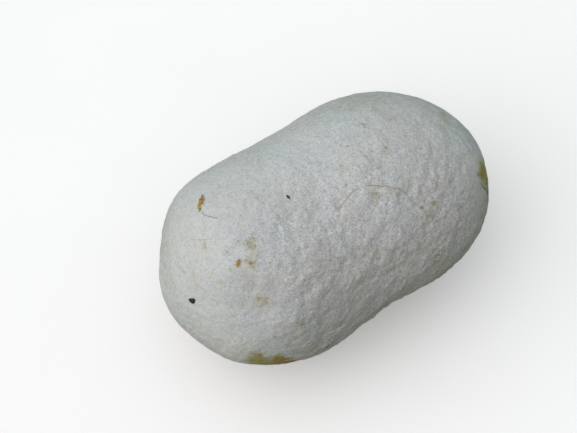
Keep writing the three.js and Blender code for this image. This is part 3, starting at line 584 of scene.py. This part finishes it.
def put_grain(place, along, size, detail, seed, lobes=(), rough=0.3):
    """A grain of size (long, wide, high) mm half-axes, half sunk in the silk at place."""
    at, up = on_skin(place)
    ax, ay, az = local_axes(up, along)
    points, faces = grain_shape(detail, seed, lobes, rough)
    return at + points[:, :1] * ax * size[0] + points[:, 1:2] * ay * size[1] + (points[:, 2:] * size[2] + size[2] * 0.55) * az, faces


def joined(name, parts):
    points, faces, base = [], [], 0
    for p, f in parts:
        points.append(p)
        faces.append(f + base)
        base += len(p)
    piece = mesh_object(name, np.vstack(points), np.vstack(faces))
    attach(piece, "root")
    return piece


black_speck = joined("black_speck", [
    put_grain((-15.62, -1.92, 14.91), (0.85, -0.53, 0.3), (0.28, 0.22, 0.13), 20, 401, [((1, 0.6, 0), 0.32), ((-1, -0.3, 0), 0.15), ((0.1, -1, 0), 0.3)], 0.25),
    put_grain((-15.74, -1.73, 14.80), (-0.4, 0.8, -0.43), (0.17, 0.17, 0.11), 14, 403, (), 0.2)])
black_fleck = joined("black_fleck", [
    put_grain((-3.92, 0.35, 20.14), (0.1, -1, 0), (0.17, 0.11, 0.07), 14, 411, [((1, 0.2, 0), 0.25)], 0.3),
    put_grain((-3.94, 0.54, 20.14), (0.1, -1, 0), (0.07, 0.04, 0.04), 8, 415, (), 0.3),
    put_grain((-3.88, 0.11, 20.14), (0.4, -1, 0), (0.08, 0.05, 0.04), 8, 417, (), 0.3)])

GRIT = [
    (-10.12, -3.30, 19.70, 0.075), (3.44, 1.79, 20.36, 0.060), (-0.75, -0.87, 20.07, 0.055), (6.55, -6.20, 17.93, 0.070), (0.35, -1.30, 20.19, 0.060),
    (1.22, -1.50, 20.34, 0.055), (-8.77, -1.59, 20.24, 0.050), (-10.07, -1.08, 20.15, 0.055), (-9.52, -1.73, 20.16, 0.055),
    (-5.49, 0.06, 20.21, 0.055), (-5.36, -0.15, 20.19, 0.045), (3.22, -3.50, 19.88, 0.060), (5.95, 3.29, 19.83, 0.050), (6.41, 3.00, 19.84, 0.050),
    (6.13, 3.11, 19.85, 0.045), (8.70, 2.45, 19.35, 0.050), (6.32, 5.65, 18.59, 0.050), (-7.26, -7.72, 17.15, 0.050), (-7.77, -8.24, 16.40, 0.050),
    (-8.05, -7.97, 16.71, 0.045), (-6.13, -8.58, 15.91, 0.050), (-8.55, -4.21, 19.62, 0.050), (-11.30, 3.76, 19.21, 0.070),
    (6.43, -0.09, 20.18, 0.055), (3.66, -1.79, 20.38, 0.050), (-4.88, -1.86, 19.97, 0.045), (7.87, -6.28, 17.62, 0.050), (7.08, -5.83, 18.14, 0.060),
    (6.83, -9.35, 13.13, 0.060), (-8.23, -9.07, 14.90, 0.060), (-11.57, -5.23, 17.63, 0.045), (-1.99, -0.12, 20.08, 0.040),
]
grit_rng = np.random.default_rng(77)
grit = joined("grit", [
    put_grain(place[:3], grit_rng.normal(size=3), (place[3] * 1.05, place[3] * 0.7, place[3] * 0.3), 8, 500 + i, (), 0.4)
    for i, place in enumerate(GRIT)])

# The orange-brown flake: a thin curled scrap, dark and torn at its upper end.
FLAKE_LINE = [(-10.16, 5.27, 18.66), (-10.38, 4.97, 18.83), (-10.65, 4.64, 18.97), (-10.92, 4.32, 19.08), (-11.16, 4.01, 19.17), (-11.36, 3.72, 19.23)]
flake_along, flake_across = 44, 12
line = smooth_path(FLAKE_LINE, flake_along)
flake_top, flake_bottom, flake_s, flake_c = [], [], [], []
for i, p in enumerate(line):
    s = i / (flake_along - 1)
    at, up = on_skin(p)
    ahead = line[min(i + 1, flake_along - 1)] - line[max(i - 1, 0)]
    ax, ay, az = local_axes(up, ahead)
    half = np.interp(s, [0, 0.08, 0.22, 0.42, 0.60, 0.76, 0.88, 1], [0.05, 0.13, 0.27, 0.33, 0.33, 0.30, 0.23, 0.10])
    for j in range(flake_across):
        c = j / (flake_across - 1) * 2 - 1
        ragged = 1 + 0.5 * float(noise(np.array([[s * 3.0, np.sign(c), 5.0]]), 0.24, 430)[0]) * c * c
        curl = 0.008 + 0.022 * c * c + 0.010 * math.sin(7 * s)
        point = at + ay * c * half * ragged + az * curl
        flake_top.append(point + az * 0.022)
        flake_bottom.append(point)
        flake_s.append(s)
        flake_c.append(0.5 + 0.5 * c)
grid_faces = []
for i in range(flake_along - 1):
    for j in range(flake_across - 1):
        a = i * flake_across + j
        grid_faces += [(a, a + 1, a + flake_across + 1), (a, a + flake_across + 1, a + flake_across)]
grid_faces = np.array(grid_faces)
sheet_count = flake_along * flake_across
rim = [j for j in range(flake_across)] + [i * flake_across + flake_across - 1 for i in range(1, flake_along)] \
    + [(flake_along - 1) * flake_across + j for j in range(flake_across - 2, -1, -1)] + [i * flake_across for i in range(flake_along - 2, 0, -1)]
rim_faces = []
for i in range(len(rim)):
    a, b = rim[i], rim[(i + 1) % len(rim)]
    rim_faces += [(b, a, a + sheet_count), (b, a + sheet_count, b + sheet_count)]
flake_faces = np.vstack([grid_faces, grid_faces[:, ::-1] + sheet_count, np.array(rim_faces)])
flake_points = np.vstack([flake_top, flake_bottom])
flake_normals = vertex_normals(flake_points, flake_faces)
if (flake_normals[:sheet_count] * (np.array(flake_top) - np.array(flake_bottom))).sum() < 0:
    flake_faces = flake_faces[:, ::-1]
flake = mesh_object("brown_flake", flake_points, flake_faces)
number_layer(flake, "along", np.array(flake_s + flake_s))
number_layer(flake, "across", np.array(flake_c + flake_c))
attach(flake, "root")


# ---------------------------------------------------------------- materials
class Nodes:
    """Small helper that adds and links shader nodes."""

    def __init__(self, name):
        self.material = bpy.data.materials.new(name)
        self.material.use_nodes = True
        self.tree = self.material.node_tree
        self.tree.nodes.clear()
        self.output = self.tree.nodes.new("ShaderNodeOutputMaterial")
        self.shader = self.tree.nodes.new("ShaderNodeBsdfPrincipled")
        self.tree.links.new(self.shader.outputs["BSDF"], self.output.inputs["Surface"])

    def put(self, socket, value):
        if isinstance(value, bpy.types.NodeSocket):
            self.tree.links.new(value, socket)
        elif isinstance(value, tuple) and len(value) == 3 and socket.type == "RGBA":
            socket.default_value = (*value, 1)
        else:
            socket.default_value = value

    def coordinates(self):
        return self.tree.nodes.new("ShaderNodeTexCoord").outputs["Object"]

    def noise(self, at, scale, detail=2.0, roughness=0.5, distortion=0.0, kind="FBM"):
        node = self.tree.nodes.new("ShaderNodeTexNoise")
        node.noise_type = kind
        node.normalize = True
        self.put(node.inputs["Vector"], at)
        node.inputs["Scale"].default_value = scale
        node.inputs["Detail"].default_value = detail
        node.inputs["Roughness"].default_value = roughness
        node.inputs["Distortion"].default_value = distortion
        return node.outputs["Fac"]

    def math(self, kind, a, b=0.0, clamp=False):
        node = self.tree.nodes.new("ShaderNodeMath")
        node.operation = kind
        node.use_clamp = clamp
        self.put(node.inputs[0], a)
        self.put(node.inputs[1], b)
        return node.outputs[0]

    def span(self, value, low, high, to_low=0.0, to_high=1.0):
        node = self.tree.nodes.new("ShaderNodeMapRange")
        node.interpolation_type = "SMOOTHSTEP"
        self.put(node.inputs["Value"], value)
        node.inputs["From Min"].default_value = low
        node.inputs["From Max"].default_value = high
        node.inputs["To Min"].default_value = to_low
        node.inputs["To Max"].default_value = to_high
        return node.outputs["Result"]

    def mix(self, amount, a, b, kind="MIX"):
        node = self.tree.nodes.new("ShaderNodeMix")
        node.data_type = "RGBA"
        node.blend_type = kind
        node.clamp_factor = True
        self.put(node.inputs["Factor"], amount)
        self.put(node.inputs[6], a)
        self.put(node.inputs[7], b)
        return node.outputs[2]

    def layer(self, name):
        node = self.tree.nodes.new("ShaderNodeAttribute")
        node.attribute_type = "GEOMETRY"
        node.attribute_name = name
        return node.outputs["Fac"]

    def bump(self, height, strength, distance, before=None):
        node = self.tree.nodes.new("ShaderNodeBump")
        self.put(node.inputs["Height"], height)
        node.inputs["Strength"].default_value = strength
        node.inputs["Distance"].default_value = distance
        if before is not None:
            self.tree.links.new(before, node.inputs["Normal"])
        return node.outputs["Normal"]


SILK = (0.684, 0.673, 0.655)
SILK_COOL = (0.657, 0.668, 0.667)
SILK_YELLOW = (0.664, 0.661, 0.599)
# colours left by stains and dirt, and by the painted shade at the rim
STAIN_AND_RIM_SHADE = {"grey": (0.55, 0.55, 0.53), "olive": (0.50, 0.50, 0.15), "gold": (0.80, 0.70, 0.235), "brown": (0.60, 0.34, 0.08)}


def silk_material():
    n = Nodes("felted_silk")
    at = n.coordinates()
    colour = n.mix(n.span(n.noise(at, 170, 3, 0.6), 0.42, 0.66), SILK, SILK_COOL)
    colour = n.mix(n.span(n.noise(at, 640, 4, 0.7, 0.3), 0.46, 0.70, 0.0, 0.75), colour, SILK_YELLOW)
    # painted shade in the felt's pores, darker where the felt bump is low, and paler fibre crossings of the felt
    felt = n.noise(at, 3000, 5, 0.72, 0.3)
    colour = n.mix(n.span(felt, 0.54, 0.30), colour, (0.82, 0.82, 0.82), "MULTIPLY")
    grain = n.noise(at, 7500, 3, 0.6)
    deep = n.mix(n.layer("open_felt"), (0.855, 0.855, 0.865), (0.705, 0.705, 0.720))
    high = n.mix(n.layer("open_felt"), (1.017, 1.017, 1.017), (1.058, 1.058, 1.055))
    colour = n.mix(1.0, colour, n.mix(n.span(grain, 0.60, 0.36), high, deep), "MULTIPLY")
    colour = n.mix(n.layer("warm"), colour, (0.998, 0.962, 0.978), "MULTIPLY")
    # painted shade in the pores of the open felt: dark specks where the noise is low
    pore_shade = n.math("MULTIPLY", n.span(n.noise(at, 5400, 2, 0.5), 0.36, 0.27), n.layer("open_felt"), clamp=True)
    colour = n.mix(pore_shade, colour, (0.56, 0.55, 0.58), "MULTIPLY")
    colour = n.mix(1.0, colour, n.mix(n.span(n.noise(at, 2700, 2, 0.6), 0.36, 0.64), (1.004, 1.0, 1.024), (0.996, 1.0, 0.974)), "MULTIPLY")
    colour = n.mix(1.0, colour, n.mix(n.span(n.noise(at, 1900, 3, 0.7, 0.4), 0.38, 0.62), (1.011, 0.998, 1.004), (0.987, 1.002, 0.994)), "MULTIPLY")
    strands = n.noise(at, 1700, 3, 0.6, 1.2, "RIDGED_MULTIFRACTAL")
    colour = n.mix(n.span(strands, 0.55, 0.95, 0.0, 0.3), colour, (0.80, 0.79, 0.78))
    # dirt and stain soaked into the silk, and painted shade at the rim, broken up by the felt
    broken = n.math("MULTIPLY", n.span(n.noise(at, 2300, 3, 0.6, 0.5), 0.32, 0.60, 0.60, 1.15), n.span(n.noise(at, 6500, 2, 0.5), 0.36, 0.62, 0.6, 1.35))
    slightly = n.span(n.noise(at, 4200, 3, 0.6), 0.34, 0.62, 0.80, 1.15)
    for name, left in STAIN_AND_RIM_SHADE.items():
        colour = n.mix(n.math("MULTIPLY", n.layer(name), slightly if name == "brown" else broken, clamp=True), colour, left, "MULTIPLY")
    n.put(n.shader.inputs["Base Color"], colour)
    n.put(n.shader.inputs["Roughness"], n.span(felt, 0.3, 0.7, 0.92, 0.78))
    n.shader.inputs["Specular IOR Level"].default_value = 0.25
    normal = n.bump(felt, 1.0, 0.00012)
    normal = n.bump(strands, 0.3, 0.00008, normal)
    n.put(n.shader.inputs["Normal"], normal)
    return n.material


def filament_material():
    n = Nodes("silk_filament")
    at = n.coordinates()
    colour = n.mix(n.layer("shade"), (0.62, 0.615, 0.595), (0.70, 0.69, 0.67))
    colour = n.mix(n.span(n.noise(at, 900, 2), 0.4, 0.7, 0.0, 0.4), colour, (0.57, 0.565, 0.54))
    # stain colours, and the painted shade at the rim, on the filaments too
    for name, left in STAIN_AND_RIM_SHADE.items():
        colour = n.mix(n.layer(name), colour, left, "MULTIPLY")
    n.put(n.shader.inputs["Base Color"], colour)
    n.put(n.shader.inputs["Roughness"], n.span(n.noise(at, 5000, 1), 0.3, 0.7, 0.45, 0.65))
    n.shader.inputs["Specular IOR Level"].default_value = 0.35
    return n.material


def hair_material(name, dark, light, rough=0.5):
    n = Nodes(name)
    at = n.coordinates()
    n.put(n.shader.inputs["Base Color"], n.mix(n.span(n.noise(at, 1500, 3, 0.6), 0.35, 0.65), dark, light))
    n.put(n.shader.inputs["Roughness"], n.span(n.noise(at, 6000, 2), 0.3, 0.7, rough - 0.08, rough + 0.12))
    n.put(n.shader.inputs["Normal"], n.bump(n.noise(at, 9000, 2), 0.3, 0.00002))
    return n.material


def flake_material():
    n = Nodes("flake")
    at = n.coordinates()
    along, across = n.layer("along"), n.layer("across")
    colour = n.mix(n.span(along, 0.0, 0.25), (0.34, 0.23, 0.08), (0.45, 0.26, 0.06))
    colour = n.mix(n.math("MULTIPLY", n.span(across, 0.50, 0.9), n.span(along, 0.78, 0.35), clamp=True), colour, (0.30, 0.13, 0.04))
    colour = n.mix(n.span(along, 0.52, 0.76), colour, (0.50, 0.40, 0.13))
    colour = n.mix(n.span(along, 0.74, 0.90), colour, (0.40, 0.37, 0.15))
    colour = n.mix(n.span(along, 0.90, 1.0), colour, (0.40, 0.40, 0.26))
    # brown spots, and the silk showing through its thin rims
    colour = n.mix(n.span(n.noise(at, 4600, 4, 0.65), 0.44, 0.58, 0.0, 0.8), colour, (0.16, 0.09, 0.035))
    rim = n.math("ABSOLUTE", n.math("SUBTRACT", across, 0.5))
    colour = n.mix(n.math("MULTIPLY", n.span(rim, 0.30, 0.5), n.span(n.noise(at, 3500, 3, 0.6), 0.35, 0.6), clamp=True), colour, (0.56, 0.48, 0.30))
    n.put(n.shader.inputs["Base Color"], colour)
    n.put(n.shader.inputs["Roughness"], n.span(n.noise(at, 4000, 2), 0.3, 0.7, 0.45, 0.7))
    n.put(n.shader.inputs["Normal"], n.bump(n.noise(at, 7000, 3), 0.5, 0.00003))
    return n.material


def fibre_material():
    n = Nodes("golden_fibre")
    at = n.coordinates()
    along = n.layer("along")
    colour = n.mix(n.span(along, 0.02, 0.13), (0.53, 0.50, 0.42), (0.42, 0.34, 0.22))
    colour = n.mix(n.span(along, 0.22, 0.34), colour, (0.46, 0.42, 0.28))
    colour = n.mix(n.span(along, 0.36, 0.42), colour, (0.54, 0.52, 0.44))
    colour = n.mix(n.span(along, 0.45, 0.50), colour, (0.25, 0.24, 0.11))
    colour = n.mix(n.span(along, 0.61, 0.66), colour, (0.37, 0.29, 0.19))
    colour = n.mix(n.span(along, 0.76, 0.81), colour, (0.38, 0.37, 0.28))
    colour = n.mix(n.span(along, 0.92, 0.98), colour, (0.20, 0.19, 0.13))
    colour = n.mix(n.span(n.noise(at, 2600, 3, 0.6), 0.42, 0.60, 0.0, 0.5), colour, (0.54, 0.52, 0.46))
    n.put(n.shader.inputs["Base Color"], colour)
    n.put(n.shader.inputs["Roughness"], n.span(n.noise(at, 6000, 2), 0.3, 0.7, 0.42, 0.6))
    n.put(n.shader.inputs["Normal"], n.bump(n.noise(at, 9000, 2), 0.3, 0.00002))
    return n.material


cocoon.data.materials.append(silk_material())
strand = filament_material()
for piece in FILAMENTS:
    piece.data.materials.append(strand)
golden_fibre.data.materials.append(fibre_material())
dark = hair_material("dark_hair", (0.13, 0.13, 0.085), (0.23, 0.23, 0.155))
dark_hair.data.materials.append(dark)
edge_hair.data.materials.append(hair_material("edge_hair", (0.16, 0.17, 0.08), (0.28, 0.29, 0.16)))
pale_hair.data.materials.append(hair_material("pale_hair", (0.32, 0.32, 0.27), (0.46, 0.46, 0.40)))
brown_hair.data.materials.append(hair_material("brown_hair", (0.30, 0.27, 0.19), (0.42, 0.38, 0.28)))
soot = hair_material("black_grain", (0.005, 0.006, 0.003), (0.015, 0.017, 0.009), 0.6)
black_speck.data.materials.append(soot)
black_fleck.data.materials.append(hair_material("black_fleck", (0.010, 0.010, 0.009), (0.03, 0.03, 0.026), 0.6))
grit.data.materials.append(hair_material("brown_grit", (0.20, 0.18, 0.12), (0.40, 0.37, 0.29), 0.7))
flake.data.materials.append(flake_material())

# ---------------------------------------------------------------- floor, light and camera
floor = mesh_object("floor", np.array([[-1600, -1600, -0.01], [1600, -1600, -0.01], [1600, 1600, -0.01], [-1600, 1600, -0.01]]), [(0, 1, 2, 3)], False)

FLOOR_BOUNCE = (0.19, 0.210, 0.146)
FLOOR_SEEN = (0.884, 0.840, 0.833)
FLOOR_GLOW = 0.22
LOBES = [  # direction, sharpness, colour
    ((0, 0, 0), 0, (0.168, 0.172, 0.166)),
    ((0, 0, 1), 2, (0.517, 0.521, 0.535)),
    ((0, 0, 1), 10, (0.12, 0.123, 0.135)),
    ((-0.990, 0, 0.139), 3, (0.57, 0.578, 0.558)),
    ((-0.985, 0, 0.174), 8, (0.78, 0.785, 0.77)),
    ((-0.612, 0.354, 0.707), 3, (0.64, 0.675, 0.70)),
    ((-0.380, 0.276, 0.883), 10, (0.461, 0.474, 0.491)),
    ((-0.757, 0.313, 0.574), 10, (0.12, 0.133, 0.137)),
    ((0.757, 0.313, 0.574), 10, (0.100, 0.135, 0.130)),
    ((0.612, 0.354, 0.707), 3, (0.000, 0.038, 0.046)),
    ((0.800, 0.500, 0.330), 3, (0.010, 0.110, 0.098)),
    ((0.250, -0.930, 0.270), 4, (0.045, 0.045, 0.041)),
]


def floor_material():
    n = Nodes("floor")
    tree = n.tree
    tree.nodes.remove(n.shader)
    seen = tree.nodes.new("ShaderNodeBsdfDiffuse")
    at = n.coordinates()
    n.put(seen.inputs["Color"], n.mix(n.span(n.noise(at, 60, 3), 0.3, 0.7, 0.0, 1.0), FLOOR_SEEN, tuple(c * 0.985 for c in FLOOR_SEEN)))
    glow = tree.nodes.new("ShaderNodeEmission")
    glow.inputs["Strength"].default_value = FLOOR_GLOW
    add = tree.nodes.new("ShaderNodeAddShader")
    tree.links.new(seen.outputs[0], add.inputs[0])
    tree.links.new(glow.outputs[0], add.inputs[1])
    bounce = tree.nodes.new("ShaderNodeBsdfDiffuse")
    bounce.inputs["Color"].default_value = (*FLOOR_BOUNCE, 1)
    bounce.name = "bounce"
    ray = tree.nodes.new("ShaderNodeLightPath")
    choose = tree.nodes.new("ShaderNodeMixShader")
    tree.links.new(ray.outputs["Is Camera Ray"], choose.inputs[0])
    tree.links.new(bounce.outputs[0], choose.inputs[1])
    tree.links.new(add.outputs[0], choose.inputs[2])
    tree.links.new(choose.outputs[0], n.output.inputs["Surface"])
    return n.material


floor.data.materials.append(floor_material())


def sky(lobes, shown):
    """Soft light from all round: each lobe adds its colour times (direction . lobe) to its sharpness."""
    world = bpy.data.worlds.new("studio")
    bpy.context.scene.world = world
    world.use_nodes = True
    tree = world.node_tree
    tree.nodes.clear()
    output = tree.nodes.new("ShaderNodeOutputWorld")
    direction = tree.nodes.new("ShaderNodeTexCoord").outputs["Generated"]
    total = None
    for to, sharpness, colour in lobes:
        if sharpness == 0:
            node = tree.nodes.new("ShaderNodeCombineXYZ")
            for i in range(3):
                node.inputs[i].default_value = colour[i]
            part = node.outputs[0]
        else:
            dot = tree.nodes.new("ShaderNodeVectorMath")
            dot.operation = "DOT_PRODUCT"
            tree.links.new(direction, dot.inputs[0])
            dot.inputs[1].default_value = Vector(to).normalized()
            up = tree.nodes.new("ShaderNodeMath")
            up.operation = "MAXIMUM"
            tree.links.new(dot.outputs["Value"], up.inputs[0])
            up.inputs[1].default_value = 0
            power = tree.nodes.new("ShaderNodeMath")
            power.operation = "POWER"
            tree.links.new(up.outputs[0], power.inputs[0])
            power.inputs[1].default_value = sharpness
            scale = tree.nodes.new("ShaderNodeVectorMath")
            scale.operation = "SCALE"
            scale.inputs[0].default_value = colour
            tree.links.new(power.outputs[0], scale.inputs["Scale"])
            part = scale.outputs[0]
        if total is None:
            total = part
        else:
            add = tree.nodes.new("ShaderNodeVectorMath")
            add.operation = "ADD"
            tree.links.new(total, add.inputs[0])
            tree.links.new(part, add.inputs[1])
            total = add.outputs[0]
    light = tree.nodes.new("ShaderNodeBackground")
    tree.links.new(total, light.inputs["Color"])
    backdrop = tree.nodes.new("ShaderNodeBackground")
    backdrop.inputs["Color"].default_value = (*shown, 1)
    ray = tree.nodes.new("ShaderNodeLightPath")
    choose = tree.nodes.new("ShaderNodeMixShader")
    tree.links.new(ray.outputs["Is Camera Ray"], choose.inputs[0])
    tree.links.new(light.outputs[0], choose.inputs[1])
    tree.links.new(backdrop.outputs[0], choose.inputs[2])
    tree.links.new(choose.outputs[0], output.inputs["Surface"])
    return world


sky(LOBES, (0.95, 0.95, 0.95))

camera_data = bpy.data.cameras.new("camera")
camera = bpy.data.objects.new("camera", camera_data)
bpy.context.scene.collection.objects.link(camera)
azimuth, elevation, distance = math.radians(-31.675), math.radians(65.0), 160.0
back = Vector((math.sin(azimuth) * math.cos(elevation), -math.cos(azimuth) * math.cos(elevation), math.sin(elevation)))
right = Vector((math.cos(azimuth), math.sin(azimuth), 0))
up = back.cross(right)
place = (back * distance + right * -3.4445 + up * 0.8777 + Vector(TO_FRAME)) * MM
camera.matrix_world = Matrix.Translation(place) @ Matrix((right, up, back)).transposed().to_4x4()
camera_data.sensor_width = 36
camera_data.lens = 1644 / 577 * 36
camera_data.clip_start, camera_data.clip_end = 0.01, 10
bpy.context.scene.camera = camera

bpy.context.scene.view_settings.view_transform = "Standard"
bpy.context.scene.view_settings.look = "None"
